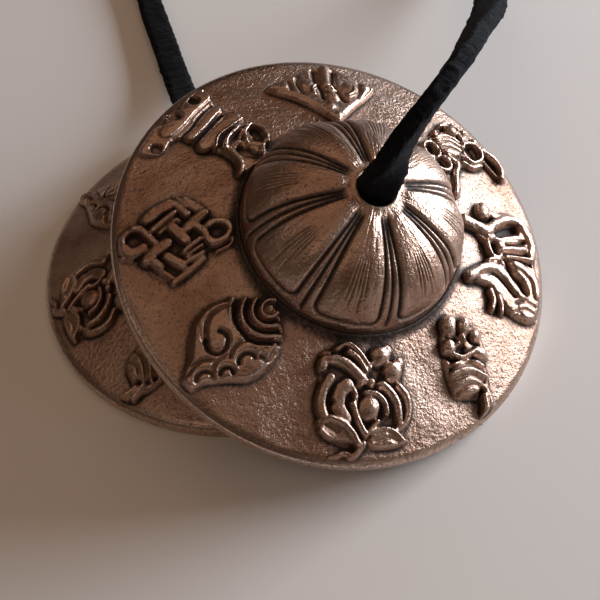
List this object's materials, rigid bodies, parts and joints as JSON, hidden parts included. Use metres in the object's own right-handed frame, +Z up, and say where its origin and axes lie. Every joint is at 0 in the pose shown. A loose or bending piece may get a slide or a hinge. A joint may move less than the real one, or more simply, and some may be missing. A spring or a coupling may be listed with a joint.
{
  "type": "tingsha cymbals",
  "caption": "Pair of small domed cast cymbals with petals and relief ornament, each hung on a knot at one end of a flat leather lace.",
  "frame": {"origin": "on the ground under the middle of the two cymbals as they lie, the lace left out", "axes": "+Z up, square to the ground the flat cymbal lies on; +Y away from the viewer, towards the lace's loop; +X to the right"},
  "size_m": [0.088, 0.1719, 0.0456],
  "materials": {
    "bell_metal": "cast, brown antiqued patina with rubbed highlights",
    "lace": "black suede, fuzzy nap"
  },
  "bodies": {
    "strap": {"strap": "lace"},
    "front_knot": {"front_knot": "lace"},
    "front_cymbal": {"front_cymbal": "bell_metal"},
    "rear_knot": {"rear_knot": "lace"},
    "rear_cymbal": {"rear_cymbal": "bell_metal"}
  },
  "joints": [
    {"name": "front_swing", "type": "hinge", "parent": "strap", "child": "front_knot", "pos_m": [0.01143, -0.01093, 0.03251], "axis": [0.3426, 0.9273, 0.1505], "range_deg": [0, 12]},
    {"name": "front_spin", "type": "hinge", "parent": "front_knot", "child": "front_cymbal", "pos_m": [0.00728, -0.00624, 0.01305], "axis": [0.3115, -0.2633, 0.913], "continuous": true},
    {"name": "rear_swing", "type": "hinge", "parent": "strap", "child": "rear_knot", "pos_m": [-0.00863, 0.00509, 0.0203], "axis": [-0.1908, 0.9816, 0], "range_deg": [0, 15]},
    {"name": "rear_spin", "type": "hinge", "parent": "rear_knot", "child": "rear_cymbal", "pos_m": [-0.00622, 0.00556, 0], "axis": [0, 0, 1], "continuous": true}
  ]
}
